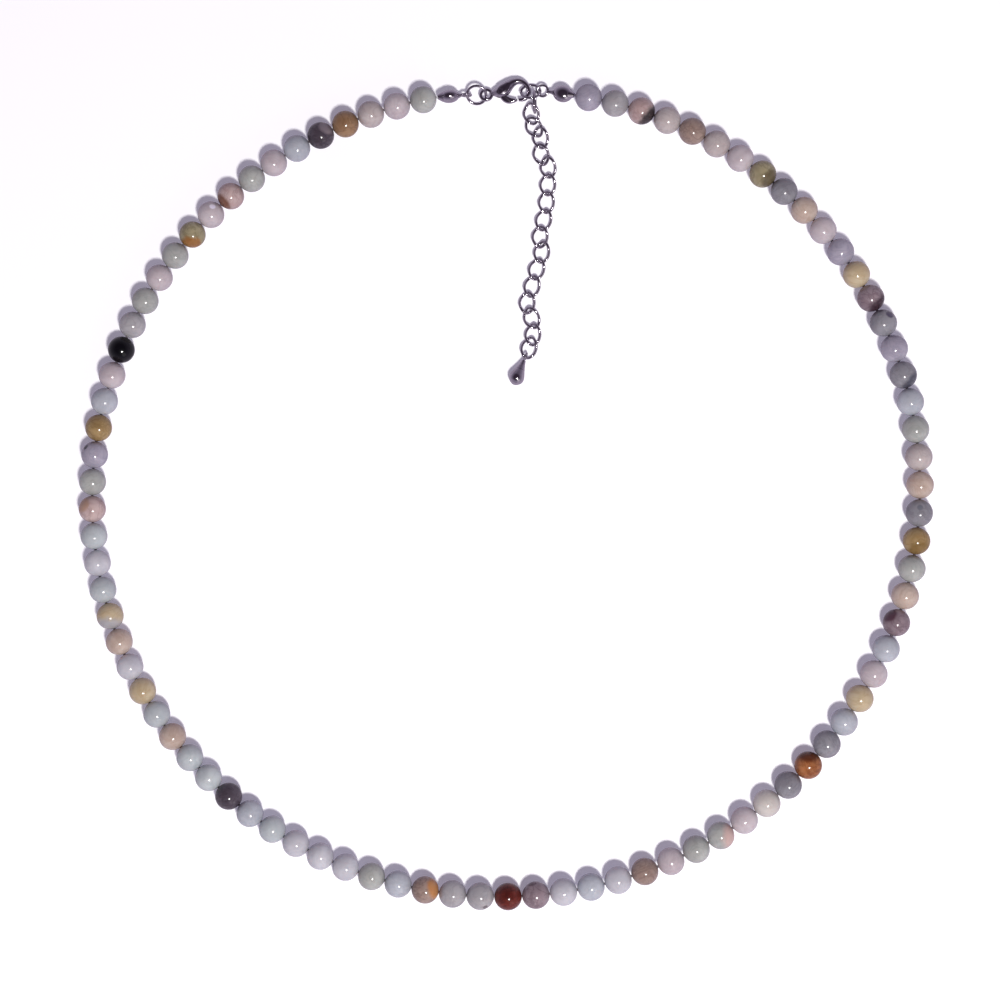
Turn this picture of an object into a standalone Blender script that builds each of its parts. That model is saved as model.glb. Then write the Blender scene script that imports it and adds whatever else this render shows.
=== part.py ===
"""A string of round stone beads, laid flat and fastened, with a lobster clasp and an extender chain.

Lengths are in metres. X runs to the right, Y away from the front of the necklace and Z up.
"""

import math

import bmesh
import bpy
import numpy as np
from mathutils import Matrix, Vector

# The beads
BEAD_DIAMETER = 0.00448
BEAD_SPACE = 0.00004  # between one bead and the next along the thread
BEAD_HOLE_DIAMETER = 0.0009
BEADS_EACH_SIDE = 44
STRING_GAP = 0.00006  # between the two half strings
TIP_SPACE = 0.00018  # between a string's end and its tip

# The oval that the necklace lies in
OVALNESS = 0.0146  # how much the long radius passes the mean one, as a share of it
OVAL_TURN = math.radians(6.2)
FRONT_LEAN = math.radians(0.25)  # the string's middle lies this far left of the lowest point
OVAL_STEPS = 2880

# The jump ring, between the left tip and the clasp
JUMP_RING_DIAMETER = 0.00364
JUMP_RING_WIRE = 0.00044
JUMP_RING_TILT = math.radians(34)

# The clasp, which lies on its side. Its own frame has the eye at the origin and the hook to the right
CLASP_LENGTH = 0.0071  # from the eye's centre to the middle of the hook's outer bar
CLASP_HEIGHT = 0.0011  # its middle plane above what it lies on
CLASP_RISE = 0.0005  # of the eye above the line between the two string ends
CLASP_EYE_RADIUS = 0.00092
CLASP_EYE_WIRE = 0.00052
CLASP_EYE_TILT = math.radians(-12)
HOUSING_THICKNESS = 0.0019
SLOT_CLEARANCE = 0.00006  # above and below the lever, between the cheeks
SLOT_TOP = 0.00102  # of the lever's slot, above the eye's centre line
SLOT_BOTTOM = -0.0015
SLOT_START = 0.0016  # along the clasp
SLOT_END = 0.004
RIVET_PLACE = Vector((0.00245, 0.00036))
RIVET_DIAMETER = 0.00048
RIVET_CLEARANCE = 0.00006
RIVET_HEAD_DIAMETER = 0.0008
RIVET_HEAD_TOP_DIAMETER = 0.00064
RIVET_HEAD_RIM = 0.00005
LEVER_THICKNESS = 0.00072
LEVER_ARM_THICKNESS = 0.00068
LEVER_BOSS_RADIUS = 0.00055
LEVER_NOSE_WIDTH = 0.00042
LEVER_GAP = 0.00015  # between the lever's nose and the hook's tip

# The arm and hook: along and across as shares of the clasp's length, half width, and half
# thickness as a share of the housing's
CLASP_SECTIONS = (
    # along, across, half width, half thickness
    (0.115, 0.025, 0.00036, 0.44),
    (0.205, 0.040, 0.00066, 0.82),
    (0.310, 0.055, 0.00104, 1.00),
    (0.420, 0.115, 0.00112, 1.00),
    (0.545, 0.230, 0.00086, 0.94),
    (0.670, 0.300, 0.00060, 0.78),
    (0.800, 0.305, 0.00049, 0.58),
    (0.915, 0.245, 0.00040, 0.46),
    (0.982, 0.155, 0.00036, 0.45),
    (1.000, 0.050, 0.00035, 0.45),
    (0.962, -0.045, 0.00035, 0.46),
    (0.880, -0.115, 0.00034, 0.47),
    (0.760, -0.130, 0.00027, 0.42),
)
CLASP_SIDES = 10

# The lever: along and across as shares of the clasp's length, half width in metres
LEVER_SECTIONS = (
    # along, across, half width
    (0.345, 0.051, 0.00042),
    (0.400, -0.060, 0.00050),
    (0.500, -0.132, 0.00057),
    (0.600, -0.146, 0.00047),
    (0.685, -0.138, 0.00030),
)
LEVER_SIDES = 8

# The catch ring, which the hook holds
CATCH_RING_DIAMETER = 0.00362
CATCH_RING_WIRE = 0.00042
CATCH_RING_TILT = math.radians(-37)
CATCH_RING_LIFT = 0.00009  # of its middle above the clasp's middle plane
CATCH_RING_REACH = 0.00029  # of its middle past the middle of the hook's bar
CATCH_RING_RISE = 0.00042  # of its middle above the eye's centre line

# The two clamshell tips
TIP_LENGTH = 0.0033
TIP_WIDTH = 0.0028
TIP_DEPTH = 0.0022
TIP_HEIGHT = 0.0017  # its middle above what it lies on
TIP_COLLAR_DIAMETER = 0.0008
TIP_COLLAR_LENGTH = 0.00014
TIP_NECK_DIAMETER = 0.0006
LEFT_TIP_NECK = 0.00042
RIGHT_TIP_NECK = 0.001
TIP_LOOP_WIRE = 0.0004
LEFT_LOOP_RADIUS = 0.0008
RIGHT_LOOP_RADIUS = 0.0009
LEFT_LOOP_SEAT = 0.00015  # of the left loop's middle past the jump ring
RIGHT_LOOP_SEAT = 0.00037  # of the right loop's middle past the catch ring
RIGHT_LOOP_RISE = 0.00052  # of its middle above the eye's centre line
RIGHT_LOOP_TILT = math.radians(16)
LOOP_HEIGHT = 0.00115
TIP_BANDS = 8
TIP_ROD_SIDES = 8

# The extender's links
LINK_LENGTH = 0.0039
LINK_WIDTH = 0.00286
LINK_WIRE = 0.00042
LINK_TWIST = math.radians(40)
LINK_POINTS = 14
LINK_HEIGHT = 0.0007
FIRST_LINK_HEIGHT = 0.0015
FIRST_LINK_TURN = (2, 89, 1)  # it stands on edge: pitch, roll and yaw in degrees
FIRST_LINK_SEAT = 0.00119  # of its end past the catch ring's wire
FIRST_LINK_SHIFT = 0.00068

# The extender's route, chosen by hand: where each link's middle lies from the first link's, in
# lengths of a taut link, and how far the link is turned and rolled, in degrees
EXTENDER_ROUTE = (
    # across, along, turn, roll
    (-0.20, -0.59, 11, 0),
    (-0.04, -1.34, 33, 3),
    (0.31, -1.91, 8, 1),
    (0.35, -2.83, 14, 5),
    (0.72, -3.52, 9, -3),
    (0.72, -4.47, -3, -1),
    (0.65, -5.43, -3, 1),
    (0.51, -6.38, -16, 0),
    (0.31, -7.31, -5, 5),
    (0.42, -8.13, -9, -2),
    (0.15, -9.05, -18, 0),
    (-0.10, -9.98, -14, 2),
    (-0.36, -10.87, -4, 0),
    (-0.12, -11.70, 22, -2),
    (-0.04, -12.60, -5, 0),
    (-0.24, -13.31, -16, 0),
)

# The drop that ends the extender
DROP_LENGTH = 0.00436
DROP_DIAMETER = 0.0025
DROP_HEADING = math.radians(-112)  # of its axis, from its eye to its round end
DROP_EYE_RADIUS = 0.00066
DROP_EYE_WIRE = 0.00034
DROP_EYE_SEAT = -0.0001  # of the eye's middle past the last link's end
DROP_EYE_SIDE = -0.0002  # of it to the right of the last link's length
DROP_SIDES = 12
DROP_PROFILE = (
    # along as a share of the length, radius as a share of the largest
    (0.00, 0.22),
    (0.20, 0.38),
    (0.42, 0.68),
    (0.58, 0.92),
    (0.71, 1.00),
    (0.86, 0.85),
    (0.95, 0.53),
    (0.99, 0.24),
)

BEAD_SIDES = 12
BEAD_BANDS = 10  # sides of the outline along the thread
BEAD_CORNERS = (8, 6, 4, 2)  # the corners that it keeps, counted in half sides
RING_POINTS = 16
WIRE_SIDES = 6
SHARP_ANGLE = math.radians(50)

bead_radius = BEAD_DIAMETER / 2
bead_pitch = BEAD_DIAMETER + BEAD_SPACE
jump_radius = (JUMP_RING_DIAMETER - JUMP_RING_WIRE) / 2
catch_radius = (CATCH_RING_DIAMETER - CATCH_RING_WIRE) / 2
link_half_length = (LINK_LENGTH - LINK_WIRE) / 2
link_half_width = (LINK_WIDTH - LINK_WIRE) / 2
link_taut = LINK_LENGTH - 2 * LINK_WIRE

# Places along the clasp, from the middle of its eye
left_loop_x = -2 * jump_radius - LEFT_LOOP_SEAT
left_tip_x = left_loop_x - LEFT_LOOP_RADIUS - LEFT_TIP_NECK - TIP_LENGTH / 2
left_end_x = left_tip_x - TIP_LENGTH / 2 - TIP_COLLAR_LENGTH - TIP_SPACE
catch_x = CLASP_LENGTH + CATCH_RING_REACH
right_loop_x = catch_x + catch_radius + RIGHT_LOOP_SEAT
right_tip_x = right_loop_x + RIGHT_LOOP_RADIUS + RIGHT_TIP_NECK + TIP_LENGTH / 2
right_end_x = right_tip_x + TIP_LENGTH / 2 + TIP_COLLAR_LENGTH + TIP_SPACE

string_length = BEADS_EACH_SIDE * bead_pitch
loop_length = 2 * string_length + right_end_x - left_end_x


def clear_scene():
    for obj in list(bpy.data.objects):
        bpy.data.objects.remove(obj)


def make_material(name, colour, metallic, roughness):
    material = bpy.data.materials.new(name)
    material.use_nodes = True
    shader = material.node_tree.nodes["Principled BSDF"]
    shader.inputs["Base Color"].default_value = (*colour, 1.0)
    shader.inputs["Metallic"].default_value = metallic
    shader.inputs["Roughness"].default_value = roughness
    return material


def add_object(name, data, material):
    obj = bpy.data.objects.new(name, data)
    bpy.context.scene.collection.objects.link(obj)
    obj.data.materials.append(material)
    return obj


def mesh_from(bm, name):
    """Turns the bmesh into a smooth mesh whose edges stay sharp where it really turns."""
    bmesh.ops.recalc_face_normals(bm, faces=bm.faces)
    mesh = bpy.data.meshes.new(name)
    bm.to_mesh(mesh)
    bm.free()
    mesh.shade_smooth()
    mesh.set_sharp_from_angle(angle=SHARP_ANGLE)
    return mesh


def ring_edges(ring):
    corners = set(ring)
    return list({edge for corner in ring for edge in corner.link_edges if set(edge.verts) <= corners})


def loft(bm, sections, sides):
    """A closed solid through the sections, each a matrix that places a unit circle."""
    half_side = Matrix.Rotation(math.pi / sides, 4, "Z")
    before = None
    for section in sections:
        ring = bmesh.ops.create_circle(bm, segments=sides, radius=1.0, matrix=section @ half_side)["verts"]
        if before is None:
            bmesh.ops.contextual_create(bm, geom=ring)
        else:
            bmesh.ops.bridge_loops(bm, edges=ring_edges(before) + ring_edges(ring))
        before = ring
    bmesh.ops.contextual_create(bm, geom=before)


def section_at(place, ahead, half_width, half_height, up=Vector((0, 0, 1))):
    """The matrix of a section across the direction ahead, its width level and its height up."""
    ahead = ahead.normalized()
    side = up.cross(ahead).normalized()
    above = ahead.cross(side)
    frame = Matrix((side * half_width, above * half_height, ahead)).transposed().to_4x4()
    frame.translation = place
    return frame


# The oval


def oval_points():
    """Points round the oval from the string's middle at the front, and the length up to each."""
    start = -math.pi / 2 - FRONT_LEAN - OVAL_TURN
    angle = np.linspace(start, start + 2 * math.pi, OVAL_STEPS + 1)
    long_way = (1 + OVALNESS) * np.cos(angle)
    short_way = (1 - OVALNESS) * np.sin(angle)
    x = long_way * math.cos(OVAL_TURN) - short_way * math.sin(OVAL_TURN)
    y = long_way * math.sin(OVAL_TURN) + short_way * math.cos(OVAL_TURN)
    along = np.concatenate([[0.0], np.cumsum(np.hypot(np.diff(x), np.diff(y)))])
    size = loop_length / along[-1]
    return x * size, y * size, along * size


def on_oval(oval, distance):
    """The place at this distance along the string from its middle, positive to the right."""
    x, y, along = oval
    distance = distance % loop_length
    return Vector((np.interp(distance, along, x), np.interp(distance, along, y), bead_radius))


def heading_on_oval(oval, distance):
    step = bead_radius / 10
    return (on_oval(oval, distance + step) - on_oval(oval, distance - step)).normalized()


# The beads


def bead_outline():
    """How far each ring of a bead lies from its middle and how wide it is, as shares of the radius."""
    half_turn = math.pi / BEAD_BANDS
    corner = 1 / math.cos(half_turn)
    turns = [count * half_turn for count in BEAD_CORNERS]
    return [(corner * math.cos(turn), corner * math.sin(turn)) for turn in turns]


def make_bead_string(name, oval, way, material):
    """Half of the string as one solid. way is 1 for the right half and -1 for the left."""
    wide = bead_radius / math.cos(math.pi / BEAD_SIDES)
    neck = BEAD_HOLE_DIAMETER / 2

    def section(distance, radius):
        ahead = heading_on_oval(oval, way * distance) * way
        return section_at(on_oval(oval, way * distance), ahead, radius, radius)

    sections = [section(STRING_GAP / 2, neck)]
    for bead in range(BEADS_EACH_SIDE):
        middle = (bead + 0.5) * bead_pitch
        for lengthwise, width in bead_outline():
            sections.append(section(middle + lengthwise * bead_radius, width * wide))
        sections.append(section(middle + bead_pitch / 2, neck))
    bm = bmesh.new()
    loft(bm, sections, BEAD_SIDES)
    return add_object(name, mesh_from(bm, name), material)


# Rings and links


def make_wire_ring(name, half_width, half_length, wire, twist, points, material):
    """A closed wire, oval where its halves differ, each end twisted about its length."""
    curve = bpy.data.curves.new(name, "CURVE")
    curve.dimensions = "3D"
    curve.bevel_depth = wire / 2
    curve.bevel_resolution = 1
    spline = curve.splines.new("POLY")
    spline.points.add(points - 1)
    spline.use_cyclic_u = True
    for index, point in enumerate(spline.points):
        angle = 2 * math.pi * (index + 0.5) / points
        lean = twist * math.sin(angle)
        across = half_width * math.cos(angle)
        point.co = (across * math.cos(lean), half_length * math.sin(angle), across * math.sin(lean), 1.0)
    return add_object(name, curve, material)


def turn_object(obj, pitch, roll, yaw):
    """Rolls the object about its length, then pitches it, then turns it on the table."""
    obj.rotation_mode = "YXZ"
    obj.rotation_euler = (pitch, roll, yaw)


def make_torus(name, radius, wire, material):
    bpy.ops.mesh.primitive_torus_add(
        major_radius=radius, minor_radius=wire / 2, major_segments=LINK_POINTS, minor_segments=WIRE_SIDES
    )
    torus = bpy.context.object
    torus.name = name
    torus.data.materials.append(material)
    return torus


def boolean(target, tool, operation):
    """Joins a tool to the target or cuts it away. The tool is only a helper after that."""
    modifier = target.modifiers.new(tool.name, "BOOLEAN")
    modifier.operation = operation
    modifier.object = tool
    modifier.solver = "EXACT"
    tool.hide_render = True
    tool.display_type = "WIRE"


def lofted_object(name, sections, sides, material):
    bm = bmesh.new()
    loft(bm, sections, sides)
    return add_object(name, mesh_from(bm, name), material)


def rod_between(name, start, end, radius, material):
    """A plain round rod with a flat end at each place."""
    ahead = end - start
    sections = [section_at(place, ahead, radius, radius) for place in (start, end)]
    return lofted_object(name, sections, TIP_ROD_SIDES, material)


# The clasp


def clasp_place(along, across, height=0.0):
    return Vector((along * CLASP_LENGTH, across * CLASP_LENGTH, height))


def path_sections(rows, widths, heights):
    """Sections along the rows' places, each square to the way from the row before to the row after."""
    places = [clasp_place(row[0], row[1]) for row in rows]
    sections = []
    for index, place in enumerate(places):
        before = places[max(index - 1, 0)]
        after = places[min(index + 1, len(places) - 1)]
        sections.append(section_at(place, after - before, widths[index], heights[index]))
    return sections


def make_cylinder(name, radius, half_height, place, material):
    ahead = Vector((0, 0, 1))
    side = Vector((1, 0, 0))
    sections = []
    for level in (-half_height, half_height):
        sections.append(section_at(place + ahead * level, ahead, radius, radius, up=side))
    return lofted_object(name, sections, BEAD_SIDES, material)


def make_clasp_body(material):
    """The arm, the housing with its two cheeks, the hook and the eye, as one casting."""
    widths = [row[2] for row in CLASP_SECTIONS]
    heights = [row[3] * HOUSING_THICKNESS / 2 for row in CLASP_SECTIONS]
    sections = path_sections(CLASP_SECTIONS, widths, heights)
    body = lofted_object("clasp_body", sections, CLASP_SIDES, material)

    eye = make_torus("clasp_eye_shape", CLASP_EYE_RADIUS, CLASP_EYE_WIRE, material)
    turn_object(eye, CLASP_EYE_TILT, 0, 0)
    boolean(body, eye, "UNION")

    slot_half_height = LEVER_THICKNESS / 2 + SLOT_CLEARANCE
    bpy.ops.mesh.primitive_cube_add(size=1)
    slot = bpy.context.object
    slot.name = "lever_slot_shape"
    slot_size = (SLOT_END - SLOT_START, SLOT_TOP - SLOT_BOTTOM, 2 * slot_half_height, 1)
    slot.data.transform(Matrix.Diagonal(slot_size))
    slot.location = ((SLOT_START + SLOT_END) / 2, (SLOT_TOP + SLOT_BOTTOM) / 2, 0)
    boolean(body, slot, "DIFFERENCE")

    hole_radius = RIVET_DIAMETER / 2 + RIVET_CLEARANCE
    hole = make_cylinder("rivet_hole_shape", hole_radius, HOUSING_THICKNESS, RIVET_PLACE.to_3d(), material)
    boolean(body, hole, "DIFFERENCE")
    return [body, eye, slot, hole]


def make_clasp_lever(material):
    """The sprung gate: a boss on the rivet and an arm to the hook's tip, broad outside for the thumb."""
    place = RIVET_PLACE.to_3d()
    lever = make_cylinder("clasp_lever", LEVER_BOSS_RADIUS, LEVER_THICKNESS / 2, place, material)

    tip = CLASP_SECTIONS[-1]
    nose = (tip[0] - LEVER_GAP / CLASP_LENGTH, tip[1], LEVER_NOSE_WIDTH / 2)
    rows = (*LEVER_SECTIONS, nose)
    widths = [row[2] for row in rows]
    heights = [LEVER_ARM_THICKNESS / 2] * len(rows)
    arm = lofted_object("lever_arm_shape", path_sections(rows, widths, heights), LEVER_SIDES, material)
    boolean(lever, arm, "UNION")

    hole_radius = RIVET_DIAMETER / 2 + RIVET_CLEARANCE
    hole = make_cylinder("lever_hole_shape", hole_radius, HOUSING_THICKNESS, place, material)
    boolean(lever, hole, "DIFFERENCE")

    # The lever's origin goes to the rivet's axis, which it turns on
    for piece in (lever, arm, hole):
        piece.data.transform(Matrix.Translation(-place))
        piece.location = place
    return [lever, arm, hole]


def make_clasp_rivet(material):
    """A shank through both cheeks, with a low round head on each."""
    shank = RIVET_DIAMETER / 2
    head = RIVET_HEAD_DIAMETER / 2
    inner = HOUSING_THICKNESS / 2 + SLOT_CLEARANCE
    outer = CLASP_HEIGHT
    top = RIVET_HEAD_TOP_DIAMETER / 2
    rows = ((-outer, top), (-outer + RIVET_HEAD_RIM, head), (-inner, head), (-inner, shank))
    rows += tuple((-height, radius) for height, radius in reversed(rows))
    side = Vector((1, 0, 0))
    sections = []
    for height, radius in rows:
        place = RIVET_PLACE.to_3d() + Vector((0, 0, height))
        sections.append(section_at(place, Vector((0, 0, 1)), radius, radius, up=side))
    return [lofted_object("clasp_rivet", sections, BEAD_SIDES, material)]


# The tips


def make_tip(name, end, middle, loop_place, loop_radius, loop_turn, width, depth, material):
    """A clamshell closed over the knot: a collar at the bead, a ball, a neck and a loop."""
    towards_loop = (loop_place - middle).normalized()
    bpy.ops.mesh.primitive_uv_sphere_add(segments=BEAD_SIDES, ring_count=TIP_BANDS, radius=0.5)
    ball = bpy.context.object
    ball.name = name
    ball.data.materials.append(material)
    ball.data.transform(Matrix.Diagonal((width, depth, TIP_LENGTH, 1)))
    level = Vector((towards_loop.x, towards_loop.y, 0))
    frame = section_at(middle, level, 1, 1)
    ball.data.transform(frame)
    ball.data.shade_smooth()

    neck_end = loop_place - towards_loop * loop_radius
    neck = rod_between(name + "_neck_shape", middle, neck_end, TIP_NECK_DIAMETER / 2, material)
    boolean(ball, neck, "UNION")

    collar = rod_between(name + "_collar_shape", middle, end, TIP_COLLAR_DIAMETER / 2, material)
    boolean(ball, collar, "UNION")

    loop = make_torus(name + "_loop_shape", loop_radius, TIP_LOOP_WIRE, material)
    turn_object(loop, *loop_turn)
    loop.location = loop_place
    boolean(ball, loop, "UNION")
    return [ball, neck, collar, loop]


# The extender


def make_drop(eye_place, material):
    """A teardrop lying on its side, with an eye that stands on edge at its thin end."""
    level = Vector((math.cos(DROP_HEADING), math.sin(DROP_HEADING), 0))
    thick_place = max(DROP_PROFILE, key=lambda row: row[1])[0] * DROP_LENGTH + DROP_EYE_RADIUS
    rise = (DROP_DIAMETER / 2 - eye_place.z) / thick_place
    ahead = (level + Vector((0, 0, rise))).normalized()
    start = eye_place + ahead * DROP_EYE_RADIUS
    sections = []
    for along, share in DROP_PROFILE:
        radius = share * DROP_DIAMETER / 2
        sections.append(section_at(start + ahead * along * DROP_LENGTH, ahead, radius, radius))
    drop = lofted_object("end_drop", sections, DROP_SIDES, material)
    eye = make_torus("drop_eye_shape", DROP_EYE_RADIUS, DROP_EYE_WIRE, material)
    turn_object(eye, 0, math.pi / 2, math.atan2(level.y, level.x) - math.pi / 2)
    eye.location = eye_place
    boolean(drop, eye, "UNION")
    return [drop, eye]


def make_extender(catch_place, material):
    """The links from the catch ring to the drop, each through the next."""
    pieces = []
    first = make_wire_ring(
        "extender_link_00", link_half_width, link_half_length, LINK_WIRE, 0, LINK_POINTS, material
    )
    turn_object(first, *(math.radians(angle) for angle in FIRST_LINK_TURN))
    catch_edge = catch_place.y - catch_radius * math.cos(CATCH_RING_TILT)
    first.location = (
        catch_place.x + FIRST_LINK_SHIFT,
        catch_edge + FIRST_LINK_SEAT - link_half_length,
        FIRST_LINK_HEIGHT,
    )
    pieces.append(first)
    for index, (across, along, turn, roll) in enumerate(EXTENDER_ROUTE, start=1):
        name = f"extender_link_{index:02d}"
        link = make_wire_ring(
            name, link_half_width, link_half_length, LINK_WIRE, LINK_TWIST, LINK_POINTS, material
        )
        turn_object(link, 0, math.radians(roll), math.radians(turn))
        link.location = (
            first.location.x + across * link_taut,
            first.location.y + along * link_taut,
            LINK_HEIGHT,
        )
        pieces.append(link)
    yaw = math.radians(EXTENDER_ROUTE[-1][2])
    ahead = Vector((math.sin(yaw), -math.cos(yaw), 0))
    side = Vector((math.cos(yaw), math.sin(yaw), 0))
    eye_place = pieces[-1].location + (link_half_length + DROP_EYE_SEAT) * ahead + DROP_EYE_SIDE * side
    eye_place.z = DROP_EYE_RADIUS + DROP_EYE_WIRE / 2
    return pieces + make_drop(eye_place, material)


def parent_to(parent, pieces):
    for piece in pieces:
        piece.parent = parent


def centre_on_floor(root, nodes):
    """Moves the whole necklace so that its box is centred over the origin and rests on Z = 0."""
    bpy.context.view_layer.update()
    graph = bpy.context.evaluated_depsgraph_get()
    corners = []
    for node in nodes:
        evaluated = node.evaluated_get(graph)
        corners += [evaluated.matrix_world @ vertex.co for vertex in evaluated.to_mesh().vertices]
        evaluated.to_mesh_clear()
    low = Vector([min(corner[axis] for corner in corners) for axis in range(3)])
    high = Vector([max(corner[axis] for corner in corners) for axis in range(3)])
    root.location = (-(low.x + high.x) / 2, -(low.y + high.y) / 2, -low.z)


def main():
    clear_scene()
    stone = make_material("pale_stone", (0.62, 0.62, 0.63), 0.0, 0.12)
    steel = make_material("polished_steel", (0.72, 0.70, 0.72), 1.0, 0.12)

    root = bpy.data.objects.new("necklace", None)
    bpy.context.scene.collection.objects.link(root)

    oval = oval_points()
    strings = [
        make_bead_string("bead_string_right", oval, 1, stone),
        make_bead_string("bead_string_left", oval, -1, stone),
    ]
    right_end = on_oval(oval, string_length)
    left_end = on_oval(oval, -string_length)
    between = (right_end + left_end) / 2
    eye_place = Vector((
        between.x - (left_end_x + right_end_x) / 2,
        between.y + CLASP_RISE,
        CLASP_HEIGHT,
    ))

    clasp = make_clasp_body(steel) + make_clasp_lever(steel) + make_clasp_rivet(steel)
    for piece in clasp:
        piece.location += eye_place

    jump_ring = make_wire_ring(
        "jump_ring", jump_radius, jump_radius, JUMP_RING_WIRE, 0, RING_POINTS, steel
    )
    turn_object(jump_ring, JUMP_RING_TILT, 0, 0)
    jump_ring.location = eye_place + Vector((-jump_radius, 0, 0))

    catch_ring = make_wire_ring(
        "catch_ring", catch_radius, catch_radius, CATCH_RING_WIRE, 0, RING_POINTS, steel
    )
    turn_object(catch_ring, CATCH_RING_TILT, 0, 0)
    catch_ring.location = eye_place + Vector((catch_x, CATCH_RING_RISE, CATCH_RING_LIFT))

    left_loop = Vector((eye_place.x + left_loop_x, eye_place.y, LOOP_HEIGHT))
    left_way = (left_loop - left_end).normalized()
    left_middle = left_end + left_way * (TIP_SPACE + TIP_COLLAR_LENGTH + TIP_LENGTH / 2)
    left_middle.z = TIP_HEIGHT
    left_tip = make_tip(
        "bead_tip_left", left_end + left_way * TIP_SPACE, left_middle, left_loop,
        LEFT_LOOP_RADIUS, (math.pi / 2, 0, 0), TIP_DEPTH, TIP_WIDTH, steel,
    )

    right_loop = Vector((eye_place.x + right_loop_x, eye_place.y + RIGHT_LOOP_RISE, LOOP_HEIGHT))
    right_way = (right_loop - right_end).normalized()
    right_middle = right_end + right_way * (TIP_SPACE + TIP_COLLAR_LENGTH + TIP_LENGTH / 2)
    right_middle.z = TIP_HEIGHT
    right_tip = make_tip(
        "bead_tip_right", right_end + right_way * TIP_SPACE, right_middle, right_loop,
        RIGHT_LOOP_RADIUS, (RIGHT_LOOP_TILT, 0, 0), TIP_WIDTH, TIP_DEPTH, steel,
    )

    extender = make_extender(catch_ring.location, steel)
    pieces = strings + clasp + left_tip + right_tip + extender + [jump_ring, catch_ring]
    parent_to(root, pieces)
    centre_on_floor(root, [piece for piece in pieces if not piece.hide_render])


main()
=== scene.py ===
"""A string of polished stone beads, fastened and laid flat, with its clasp and extender chain."""

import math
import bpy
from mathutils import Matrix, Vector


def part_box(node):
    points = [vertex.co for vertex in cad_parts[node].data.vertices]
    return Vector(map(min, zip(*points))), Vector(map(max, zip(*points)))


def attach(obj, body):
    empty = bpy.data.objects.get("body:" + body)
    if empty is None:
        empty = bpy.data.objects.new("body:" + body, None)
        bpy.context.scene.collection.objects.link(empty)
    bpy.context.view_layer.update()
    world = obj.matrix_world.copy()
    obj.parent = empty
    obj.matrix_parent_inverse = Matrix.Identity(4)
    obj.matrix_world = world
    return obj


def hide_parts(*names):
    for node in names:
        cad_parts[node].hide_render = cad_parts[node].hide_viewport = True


bl_info = {
    "name": "Beaded necklace",
    "version": (1, 0, 0),
    "blender": (4, 5, 0),
    "location": "View3D > Sidebar > Necklace",
    "description": "Makes a string of polished stone beads with its clasp and extender chain",
    "category": "Object",
}

import bpy
import numpy as np
from mathutils import Matrix, Vector

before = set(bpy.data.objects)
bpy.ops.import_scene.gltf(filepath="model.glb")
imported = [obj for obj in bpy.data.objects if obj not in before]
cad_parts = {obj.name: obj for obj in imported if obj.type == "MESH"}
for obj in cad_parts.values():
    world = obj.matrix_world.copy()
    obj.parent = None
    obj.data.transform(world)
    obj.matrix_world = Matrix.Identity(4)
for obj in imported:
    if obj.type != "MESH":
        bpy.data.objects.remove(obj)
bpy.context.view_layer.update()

MM = 0.001

# The stones: body colour, cloud colour, vein colour (0 to 255), cloud amount and vein amount
STONES = {
    "lilac grey": ((150, 145, 160), (172, 168, 182), (118, 112, 130), 0.6, 0.25),
    "smoke grey": ((153, 150, 155), (174, 172, 176), (122, 119, 125), 0.6, 0.25),
    "warm grey": ((168, 158, 159), (186, 178, 178), (136, 124, 126), 0.6, 0.25),
    "blush": ((175, 165, 171), (192, 184, 189), (150, 136, 144), 0.6, 0.2),
    "rosy tan": ((168, 146, 146), (190, 172, 170), (126, 104, 106), 0.8, 0.35),
    "taupe": ((142, 123, 116), (160, 142, 134), (106, 86, 82), 0.7, 0.4),
    "mauve": ((124, 108, 116), (148, 134, 142), (84, 64, 76), 0.8, 0.4),
    "olive": ((140, 131, 106), (160, 152, 126), (102, 92, 66), 0.8, 0.4),
    "slate": ((126, 124, 132), (146, 146, 153), (96, 94, 104), 0.6, 0.3),
    "peach": ((174, 157, 148), (190, 176, 167), (148, 126, 114), 0.7, 0.25),
    "sky": ((163, 166, 175), (182, 186, 195), (136, 139, 150), 0.6, 0.2),
    "cream": ((174, 158, 132), (190, 177, 154), (148, 126, 94), 0.6, 0.25),
    "celadon": ((155, 156, 155), (175, 177, 175), (124, 127, 124), 0.6, 0.25),
    "aqua": ((168, 173, 178), (188, 194, 197), (142, 150, 155), 0.6, 0.2),
    "snow": ((177, 176, 184), (196, 196, 203), (152, 150, 162), 0.5, 0.15),
    "carnelian": ((142, 90, 56), (172, 116, 76), (96, 52, 26), 0.9, 0.4),
    "ochre": ((144, 120, 84), (162, 140, 102), (106, 82, 48), 0.8, 0.35),
    "amber": ((130, 101, 77), (150, 122, 96), (94, 68, 44), 0.8, 0.35),
    "pearl": ((184, 178, 175), (200, 196, 193), (160, 152, 148), 0.5, 0.15),
    "oxblood": ((84, 32, 27), (108, 46, 38), (54, 18, 18), 0.8, 0.4),
    "plum": ((70, 62, 72), (92, 84, 94), (44, 38, 46), 0.7, 0.35),
    "onyx": ((8, 8, 12), (14, 13, 18), (5, 5, 8), 0.4, 0.1),
}

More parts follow.
